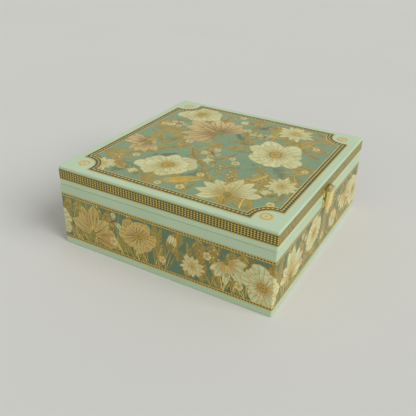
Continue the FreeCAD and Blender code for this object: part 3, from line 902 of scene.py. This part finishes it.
def painted_sheet(name, outlines, flat, lift, facets, bake_map):
    """Closed thin sheet of a flattened drawing, with its paint stored on its corners."""
    spots, faces, tops = flat
    loop = rim_loop(faces)
    under = {i: len(spots) + number for number, i in enumerate(loop)}
    places = [lift(x, y) for x, y in spots] + [lift(*spots[i], skin) for i in loop]
    spots = spots + [spots[i] for i in loop]
    faces += [(b, a, under[a], under[b]) for a, b in edges_of(loop)]
    for low, high in facets:
        faces.append(tuple(under[i] for i in reversed(loop) if low - 1e-4 <= spots[i][0] <= high + 1e-4))
    painted = outlines + [Outline([], GOLD_DARK)]
    tops = tops + [len(outlines)] * (len(faces) - len(tops))
    mesh = bpy.data.meshes.new(name)
    mesh.from_pydata(places, [], faces)
    sizes = [len(face) for face in faces]
    owner = np.repeat(np.array(tops), sizes)
    corners = np.array([i for face in faces for i in face])
    flat_places = np.array(spots)[corners]
    starts = np.cumsum([0] + sizes[:-1])
    middles = np.repeat(np.add.reduceat(flat_places[:, 0], starts) / np.array(sizes), sizes)
    grain = np.array([[tuple(row) for row in outline.grain[:2]] for outline in painted])[owner]
    stroke = np.einsum("ijk,ik->ij", grain, np.c_[flat_places, np.ones(len(flat_places))])
    closing = owner == len(outlines)
    for key, values in (("OFBake", bake_map(flat_places, middles, closing)), ("stroke", stroke)):
        mesh.uv_layers.new(name=key)
        mesh.uv_layers[key].data.foreach_set("uv", values.ravel())
    finishes = [outline.finish for outline in painted]
    for key in ("body", "foot", "line"):
        colours = np.array([getattr(finish, key) + (finish.strength,) for finish in finishes])[owner]
        mesh.color_attributes.new(key, "FLOAT_COLOR", "CORNER")
        mesh.color_attributes[key].data.foreach_set("color", colours.ravel())
    hands = np.array([finish.hand for finish in finishes])[owner]
    mesh.attributes.new("hand", "FLOAT_VECTOR", "CORNER")
    mesh.attributes["hand"].data.foreach_set("vector", hands.ravel())
    return mesh


def added(name, mesh, material, body, slot, replaced):
    piece = bpy.data.objects.new(name, mesh)
    bpy.context.collection.objects.link(piece)
    mesh.materials.append(material)
    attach(piece, body)
    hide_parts(replaced)
    return piece


# Each side of a wrap runs from the middle of one rounded corner to the middle of the next
wrap_straight = 2 * (wrap_half - wrap_corner)
wrap_arc = math.pi / 2 * wrap_corner
wrap_quarter = wrap_straight + wrap_arc


def wrapped(side, along, height, inset=0.0):
    """Point on one side of the box for a length along the strip, which starts at the back left corner."""
    rest = along - side * wrap_quarter - wrap_arc / 2
    run = min(max(rest, 0), wrap_straight)
    bend = (rest - run) / wrap_corner
    radius = wrap_corner - inset
    half = wrap_half - wrap_corner
    place = turned(math.radians(90 * side)) @ Vector((-half - radius * math.cos(bend),
                                                       half - run - radius * math.sin(bend), 0))
    return (place.x * MM, place.y * MM, height * MM)


def halves_map(side, low, high):
    """Lays the two halves of a side above each other, so that each fills the width of the picture."""
    start = side * wrap_quarter
    half = wrap_quarter / 2

    def place(places, middles, closing):
        second = middles > start + half
        across = (places[:, 0] - start - half * second) / half
        up = (places[:, 1] - low) / (high - low)
        up = np.where(closing, 0.5 + 0.5 * bake_margin * up,
                      bake_margin + up * (0.5 - 2 * bake_margin) + 0.5 * second)
        return np.stack([bake_margin + across * (1 - 2 * bake_margin), up], axis=1)
    return place


def panel_map(places, _, closing):
    """The panel seen from above; its hidden underside goes in a corner of the picture."""
    scale = np.where(closing, 0.004 / panel_edge, 1 / (2.04 * panel_edge))[:, None]
    return np.where(closing, 0.01, 0.5)[:, None] + places * scale


def make_panel(material):
    border = panel_border()
    outlines = border + [Outline(notched(frame_end), Finish(GROUND, line=toned(GROUND, 0.93)))]
    outlines = showing(outlines + panel_painting(), len(border))
    mesh = painted_sheet("painted_panel", outlines, flattened(outlines, len(border)),
                         lambda x, y, inset=0.0: (x * MM, y * MM, top_high[2] - inset * MM),
                         [(-panel_edge, panel_edge)], panel_map)
    added("painted_panel", mesh, material, "lid", "floral_print", "top_print")


def make_wrap(name, background, art, low, high, *fitting):
    """Wraps a strip round the four sides, one sheet to a side."""
    for side, side_name in enumerate(wrap_sides):
        start = side * wrap_quarter
        end = start + wrap_quarter
        outlines = [strip(start, end, low, high, background[0].finish)]
        outlines += overlapping(background[1:], start, end, 4 * wrap_quarter)
        window = len(outlines) - 1
        outlines = showing(outlines + overlapping(art, start, end, 4 * wrap_quarter), window)
        arcs = [wrap_arc / 2 * (i / 3) for i in range(1, 4)]
        bends = [start + arc for arc in arcs] + [start + wrap_quarter / 2] + [end - arc for arc in arcs[::-1]]
        creases = [((place, low), (place, high)) for place in bends]
        bends = [start] + bends + [end]
        mesh = painted_sheet(name + "_" + side_name, outlines, flattened(outlines, window, creases),
                             partial(wrapped, side), zip(bends, bends[1:]), halves_map(side, low, high))
        added(name + "_" + side_name, mesh, *fitting)


def make_frieze(material):
    length = 4 * wrap_quarter
    low = side_low[2] / MM
    high = side_high[2] / MM
    inner = (low + border_height, high - border_height)
    background = [strip(0.0, length, low, high, STRIPE), *rope_border(length, low),
                  *rope_border(length, inner[1]), strip(0.0, length, *inner, GROUND_SIDE)]
    make_wrap("painted_frieze", background, frieze_painting(length, *inner), low, high,
              material, "base", "floral_print", "side_print")


def make_band(material):
    low = band_low[2] / MM
    high = band_high[2] / MM
    make_wrap("woven_band", basket_weave(4 * wrap_quarter, low, high), [], low, high,
              material, "lid", "woven_band", "lid_band")


# Materials

def feed(socket, value):
    """Links a value from another node, or sets it; a colour gets its alpha."""
    if isinstance(value, bpy.types.NodeSocket):
        socket.id_data.links.new(value, socket)
    elif socket.type == "RGBA":
        socket.default_value = (*value, 1.0)
    else:
        socket.default_value = value


def node(tree, kind, inputs=(), **settings):
    made = tree.nodes.new(kind)
    for key, value in settings.items():
        setattr(made, key, value)
    for key, value in dict(inputs).items():
        feed(made.inputs[key], value)
    return made


def joined(kind, inputs, **settings):
    """New node in the tree of the nodes that feed it."""
    tree = next(value.id_data for value in inputs.values() if isinstance(value, bpy.types.NodeSocket))
    return node(tree, kind, inputs, **settings)


def calc(operation, *values, clamp=False):
    return joined("ShaderNodeMath", dict(enumerate(values)), operation=operation, use_clamp=clamp).outputs[0]


plus = partial(calc, "ADD")
minus = partial(calc, "SUBTRACT")
times = partial(calc, "MULTIPLY")
larger = partial(calc, "MAXIMUM")
size_of = partial(calc, "ABSOLUTE")
sine = partial(calc, "SINE")


def ramp(value, low, high, to_low=0.0, to_high=1.0):
    made = joined("ShaderNodeMapRange", {"Value": value, "From Min": low, "From Max": high,
                                         "To Min": to_low, "To Max": to_high},
                  interpolation_type="SMOOTHSTEP")
    return made.outputs["Result"]


def mixed(share, first, second, blend="MIX"):
    return joined("ShaderNodeMix", {0: share, 6: first, 7: second}, data_type="RGBA",
                  blend_type=blend).outputs[2]


def noise(place, scale, detail, roughness=0.5):
    return joined("ShaderNodeTexNoise", {"Vector": place, "Scale": scale, "Detail": detail,
                                         "Roughness": roughness}).outputs["Fac"]


def parts_of(vector):
    return joined("ShaderNodeSeparateXYZ", {"Vector": vector}).outputs


def new_material(name):
    """A material and the place on the object that its patterns follow."""
    material = bpy.data.materials.new(name)
    material.use_nodes = True
    return material, node(material.node_tree, "ShaderNodeTexCoord").outputs["Object"]


def surfaced(material, height=None, bump=0.0, **inputs):
    """Sets the material's surface, whose inputs are named with _ for a space, and its bump in metres."""
    shader = material.node_tree.nodes["Principled BSDF"]
    if height:
        bumped = joined("ShaderNodeBump", {"Height": height, "Distance": bump})
        feed(shader.inputs["Normal"], bumped.outputs["Normal"])
    for key, value in inputs.items():
        feed(shader.inputs[key.replace("_", " ")], value)
    return material


def lacquer(name, colour, sheen_roughness=0.42):
    """Sprayed satin lacquer: a faint orange peel, slow drifts of tone, rubbed arrises that are paler as wear
    and as a painted highlight, and dirt with painted shade along the lid joint.
    """
    material, place = new_material(name)
    slow = noise(place, 14.0, 4.0)
    fine = noise(place, 420.0, 2.0)
    speck = noise(place, 1500.0, 1.0)
    drifting = mixed(ramp(slow, 0.3, 0.7), toned(colour, 0.965), toned(colour, 1.03))
    speckled = mixed(ramp(speck, 0.74, 0.82, 0.0, 0.35), drifting, toned(colour, 1.22))
    x, y, z = parts_of(place)
    near_x, near_y = [ramp(size_of(out), box_side / 2 - arris_reach, box_side / 2 - arris_core)
                      for out in (x, y)]
    near_top = ramp(z, panel_z - top_arris_reach, panel_z - top_arris_core)
    arris = larger(times(near_x, near_y), times(near_top, larger(near_x, near_y)))
    patchy = ramp(noise(place, 95.0, 3.0), 0.45, 0.68)
    # Paler rubbed arrises: worn lacquer, partly a painted highlight along the edges
    edge_wear_and_highlight = times(times(arris, patchy), 0.5)
    # Painted shade along the lid joint, with some dirt, on the front and back faces
    beside = size_of(minus(z, joint_z))
    joint_shade_and_dirt = times(ramp(beside, joint_shade_core, joint_shade_reach, 0.2, 0.0), near_y)
    worn_and_highlighted = mixed(edge_wear_and_highlight, speckled, toned(colour, 1.18))
    rough = ramp(fine, 0.2, 0.8, sheen_roughness - 0.05, sheen_roughness + 0.06)
    return surfaced(material, plus(times(fine, 0.5), times(slow, 2.0)), 0.00012,
                    Base_Color=mixed(joint_shade_and_dirt, worn_and_highlighted, toned(colour, 0.3)),
                    Roughness=plus(rough, times(edge_wear_and_highlight, 0.2)), Specular_IOR_Level=0.4)


def painted_ink(name, coat):
    """Print on the boards: petals with fanned lines, leaves with slanted veins, mottled colour."""
    material, place = new_material(name)
    tree = material.node_tree
    u, v, _ = parts_of(node(tree, "ShaderNodeUVMap", uv_map="stroke").outputs["UV"])
    hand, body, foot, line = [node(tree, "ShaderNodeAttribute", attribute_name=key).outputs
                              for key in ("hand", "body", "foot", "line")]
    fanned, veined, count = parts_of(hand["Vector"])
    drift = noise(place, 260.0, 3.0)
    wobble = times(minus(drift, 0.5), 2.4)
    # Lines that fan out from the petal's foot
    spread = calc("DIVIDE", v, plus(size_of(u), 0.22))
    fan_wave = sine(plus(times(spread, count), wobble))
    fan_line = times(ramp(fan_wave, 0.35, 0.98), ramp(u, 0.15, 1.0, 1.0, 0.28))
    fine_wave = sine(plus(times(spread, times(count, 2.7)), wobble))
    fine_line = times(ramp(fine_wave, 0.4, 1.0), ramp(u, 0.1, 0.75, 0.6, 0.0))
    petal_line = times(larger(fan_line, fine_line), fanned)
    # Veins that slant off a leaf's rib
    leaf_wave = sine(times(minus(times(u, 2.2), size_of(v)), count))
    leaf_line = times(ramp(leaf_wave, 0.2, 1.0), veined)
    share = times(larger(petal_line, leaf_line), line["Alpha"], clamp=True)
    lined = mixed(share, mixed(ramp(u, 0.02, 0.62), foot["Color"], body["Color"]), line["Color"])
    mottle = ramp(noise(place, 900.0, 4.0, 0.65), 0.25, 0.75, 0.9, 1.08)
    broad = ramp(noise(place, 48.0, 3.0), 0.3, 0.7, 0.94, 1.05)
    tone = joined("ShaderNodeCombineColor", dict.fromkeys(("Red", "Green", "Blue"), times(mottle, broad)))
    return surfaced(material, plus(drift, times(share, -0.6)), 0.00005,
                    Base_Color=mixed(1.0, lined, tone.outputs["Color"], "MULTIPLY"),
                    Roughness=ramp(drift, 0.2, 0.8, 0.38, 0.5), Specular_IOR_Level=0.32,
                    Coat_Weight=coat, Coat_Roughness=0.32)


def ring_ink(name):
    """Orange-gold printed rings, a little uneven."""
    material, place = new_material(name)
    patch = noise(place, 700.0, 4.0, 0.6)
    return surfaced(material, patch, 0.00004, Base_Color=mixed(ramp(patch, 0.3, 0.7), RING_GOLD, RING_LIGHT),
                    Roughness=ramp(patch, 0.2, 0.8, 0.34, 0.48))


def brass(name, colour, roughness, wear=0.15, shade_above=None, darkness=0.92):
    """Pressed brass with a drawn grain, a little darker where hands don't polish it, and darker still above a
    given height as painted shade.
    """
    material, place = new_material(name)
    patch = noise(place, 120.0, 4.0, 0.6)
    drawn_out = joined("ShaderNodeMapping", {"Vector": place, "Scale": (0.12, 1.0, 1.0)}).outputs["Vector"]
    hairs = noise(drawn_out, 5200.0, 2.0, 0.7)
    tarnish_and_shade = ramp(patch, 0.42, 0.78, 0.0, wear)
    # Painted shade: darker above the given height, over the latch's knuckle
    if shade_above:
        up = parts_of(place)["Z"]
        tarnish_and_shade = larger(tarnish_and_shade, ramp(up, shade_above - painted_shade_fade, shade_above, 0.0, darkness))
    dull = mixed(tarnish_and_shade, colour, toned(colour, 0.22))
    rough = ramp(hairs, 0.2, 0.8, roughness - 0.05, roughness + 0.07)
    return surfaced(material, plus(hairs, times(patch, 3.0)), 0.00003,
                    Base_Color=mixed(ramp(hairs, 0.55, 0.8, 0.0, 0.25), dull, toned(colour, 1.1)),
                    Roughness=plus(rough, times(tarnish_and_shade, 0.2)), Metallic=0.68)


def flocking(name, colour):
    """Short flock on card: a matt nap with soft cloudy tone."""
    material, place = new_material(name)
    nap = noise(place, 2600.0, 4.0, 0.75)
    cloud = noise(place, 38.0, 4.0, 0.6)
    base = mixed(ramp(cloud, 0.3, 0.7), toned(colour, 0.88), toned(colour, 1.06))
    return surfaced(material, nap, 0.00035, Base_Color=mixed(ramp(nap, 0.3, 0.75), toned(colour, 0.72), base),
                    Roughness=ramp(nap, 0.2, 0.8, 0.88, 1.0), Sheen_Weight=0.35, Sheen_Roughness=0.45,
                    Specular_IOR_Level=0.15)


def dress(material, *names):
    """Gives CAD nodes their finish."""
    for name in names:
        mesh = nodes[name].data
        mesh.materials.clear()
        mesh.materials.append(material)


# Fittings and slats, from copies of the CAD pieces

def begin_copy(name, material, body, slot):
    """Copy of a CAD piece with its loose triangles joined, left in edit mode in the CAD one's place."""
    bpy.ops.object.select_all(action="DESELECT")
    mesh = nodes[name].data.copy()
    mesh.materials.clear()
    piece = added("finished_" + name, mesh, material, body, slot, name)
    piece.select_set(True)
    bpy.context.view_layer.objects.active = piece
    bpy.ops.object.mode_set(mode="EDIT")
    bpy.ops.mesh.select_all(action="SELECT")
    bpy.ops.mesh.remove_doubles(threshold=0.000001)
    return piece


def shaped(piece, kind, **settings):
    """Adds a modifier to the piece and applies it."""
    level = piece.modifiers.new(kind.lower(), kind)
    for key, value in settings.items():
        setattr(level, key, value)
    bpy.ops.object.modifier_apply(modifier=level.name)


def finish_copy(piece):
    """Leaves edit mode with curved faces smooth and flat ones flat."""
    bpy.ops.object.mode_set(mode="OBJECT")
    bpy.ops.object.shade_smooth_by_angle(angle=math.radians(32))
    shaped(piece, "WEIGHTED_NORMAL", keep_sharp=True)
    piece.select_set(False)


def softened(name, material, body, slot, width):
    """The piece with its sharp edges broken, as filing or a coat of lacquer leaves them."""
    piece = begin_copy(name, material, body, slot)
    bpy.ops.mesh.dissolve_limited(angle_limit=math.radians(0.5))
    bpy.ops.object.mode_set(mode="OBJECT")
    shaped(piece, "BEVEL", width=width * MM, segments=2, angle_limit=math.radians(35))
    finish_copy(piece)


def screw_middles(name):
    """Where the screws of a node stand across the box, from the gaps between them."""
    places = sorted(vertex.co.x for vertex in nodes[name].data.vertices)
    groups = [[places[0]]]
    for place in places[1:]:
        if place - groups[-1][-1] > screw_gap * MM:
            groups.append([])
        groups[-1].append(place)
    return [(group[0] + group[-1]) / 2 for group in groups]


def select_head(piece, center, across, reach):
    """Selects the outward faces of one screw's head that lie within a reach of its slot's middle line."""
    bpy.ops.object.mode_set(mode="OBJECT")
    for face in piece.data.polygons:
        offset = face.center - center
        inside = abs(offset.dot(across)) < reach and offset.length < head_reach * MM
        face.select = inside and face.normal.y > 0.3 and offset.y > -0.0003
    bpy.ops.object.mode_set(mode="EDIT")


def slotted(name, material, body, slot, turns):
    """The screws with a driver's slot cut across each domed head, each left at its own turn."""
    low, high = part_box(name)
    piece = begin_copy(name, material, body, slot)
    for x, turn in zip(screw_middles(name), turns):
        across = Vector((math.cos(math.radians(turn)), 0, math.sin(math.radians(turn))))
        center = Vector((x, high[1] - slot_depth * MM, (low[2] + high[2]) / 2))
        bpy.ops.mesh.select_mode(type="FACE")
        for side in (-1, 1):
            select_head(piece, center, across, head_reach * MM)
            bpy.ops.mesh.bisect(plane_co=center + across * side * slot_width * MM / 2, plane_no=across)
        select_head(piece, center, across, slot_width * MM / 2)
        bpy.ops.mesh.extrude_region_move(TRANSFORM_OT_translate={"value": (0, 0, 0)})
        bpy.ops.transform.resize(value=(1, 0, 1), center_override=center)
    finish_copy(piece)


# Stage, light and camera

def make_stage():
    bpy.ops.mesh.primitive_plane_add(size=floor_size, location=(0, 0, 0))
    floor = bpy.context.object
    floor.name = "floor"
    material, place = new_material("pale_floor")
    surfaced(material, Base_Color=mixed(noise(place, 3.0, 2.0), (0.70, 0.69, 0.66), (0.73, 0.72, 0.69)),
             Roughness=0.9, Specular_IOR_Level=0.1)
    floor.data.materials.append(material)
    bpy.ops.object.select_all(action="DESELECT")


def make_world(ambient, backdrop):
    """An even sky that lights the box, and a paler one where it is seen or mirrored."""
    world = bpy.data.worlds.new("studio")
    bpy.context.scene.world = world
    world.use_nodes = True
    tree = world.node_tree
    tree.nodes.clear()
    path = node(tree, "ShaderNodeLightPath").outputs
    sky = node(tree, "ShaderNodeBackground", {"Color": (0.98, 1.0, 0.98), "Strength": ambient})
    seen = node(tree, "ShaderNodeBackground", {"Color": (0.86, 0.85, 0.82), "Strength": backdrop})
    visible = larger(path["Is Camera Ray"], larger(path["Is Glossy Ray"], path["Is Transmission Ray"]))
    blend = joined("ShaderNodeMixShader", {0: visible, 1: sky.outputs[0], 2: seen.outputs[0]})
    node(tree, "ShaderNodeOutputWorld", {0: blend.outputs[0]})


def make_sun(name, towards, strength, softness, colour=(1.0, 1.0, 1.0)):
    data = bpy.data.lights.new(name, "SUN")
    data.energy = strength
    data.angle = math.radians(softness)
    data.color = colour
    lamp = bpy.data.objects.new(name, data)
    lamp.rotation_euler = Vector(towards).to_track_quat("Z", "Y").to_euler()
    bpy.context.collection.objects.link(lamp)


def make_camera():
    """The photograph's view, from the fit of the box's corners."""
    level = Euler((math.radians(90 - camera_elevation), 0, math.radians(camera_azimuth))).to_matrix()
    turn = level @ Matrix.Rotation(math.radians(camera_roll), 3, "Z")
    reach = Vector((camera_shift_right, camera_shift_up, camera_distance))
    place = Vector((0, 0, fitted_height / 2)) + turn @ reach
    data = bpy.data.cameras.new("photo_camera")
    data.sensor_fit = "HORIZONTAL"
    data.sensor_width = sensor_width
    data.lens = sensor_width * camera_focal_pixels / photo_pixels
    camera = bpy.data.objects.new("photo_camera", data)
    bpy.context.collection.objects.link(camera)
    camera.matrix_world = Matrix.Translation(place * box_side) @ turn.to_4x4()
    bpy.context.scene.camera = camera


def make_lights():
    make_world(0.42, 1.0)
    make_sun("key_light", (-0.10, -0.82, 0.68), 1.92, 40)
    make_sun("fill_light", (-1.0, 0.05, 0.12), 0.38, 60, (0.97, 1.02, 0.98))


def dress_boards():
    lid_mint = lacquer("lid_mint_lacquer", MINT)
    base_mint = lacquer("base_mint_lacquer", toned(MINT, 0.95))
    slats = lacquer("divider_lacquer", toned(MINT, 0.97), 0.46)
    dress(base_mint, "base_floor", *["base_" + side + "_wall" for side in wrap_sides])
    dress(lid_mint, "lid_top_panel", *["lid_" + side + "_rail" for side in wrap_sides])
    for slat in ("cross_divider_1", "cross_divider_2", "long_divider_1", "long_divider_2"):
        softened(slat, slats, "base", "divider_board", slat_ease)
    dress(flocking("flocked_card", FLOCK), "floor_lining", "lid_lining",
          *[side + "_lining" for side in wrap_sides])


def dress_fittings():
    pin_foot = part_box("latch_pin")[0][2]
    plate_brass = brass("pressed_brass", BRASS, 0.24)
    # The knuckle and the hasp's top get painted shade above the latch pin's foot
    knuckle_brass = brass("tarnished_and_shaded_knuckle_brass", BRASS, 0.3, shade_above=pin_foot)
    hasp_brass = brass("tarnished_and_shaded_hasp_brass", BRASS, 0.24, wear=0.04, shade_above=pin_foot, darkness=0.6)
    pin_brass = brass("turned_brass", PIN_BRASS, 0.3)
    dress(plate_brass, "latch_catch")
    dress(hasp_brass, "latch_hasp")
    dress(pin_brass, "latch_pin", "latch_lid_nails", "latch_base_nails", "hinge_pin_left", "hinge_pin_right")
    dress(ring_ink("ring_ink"), "corner_rings")
    softened("latch_lid_plate", knuckle_brass, "lid", "brass", metal_ease)
    softened("latch_base_plate", plate_brass, "base", "brass", metal_ease)
    for body in ("lid", "base"):
        for side in ("left", "right"):
            softened("hinge_" + body + "_leaf_" + side, plate_brass, body, "brass", metal_ease)
    slotted("hinge_lid_screws", pin_brass, "lid", "brass_pin", (38, -22, 64, 12))
    slotted("hinge_base_screws", pin_brass, "base", "brass_pin", (-50, 20, 80, -8))


def main():
    bpy.context.scene.view_settings.view_transform = "Standard"
    make_camera()
    make_lights()
    make_stage()
    dress_boards()
    dress_fittings()
    make_panel(painted_ink("panel_ink", 0.0))
    side_ink = painted_ink("side_ink", 0.2)
    make_frieze(side_ink)
    make_band(side_ink)


main()
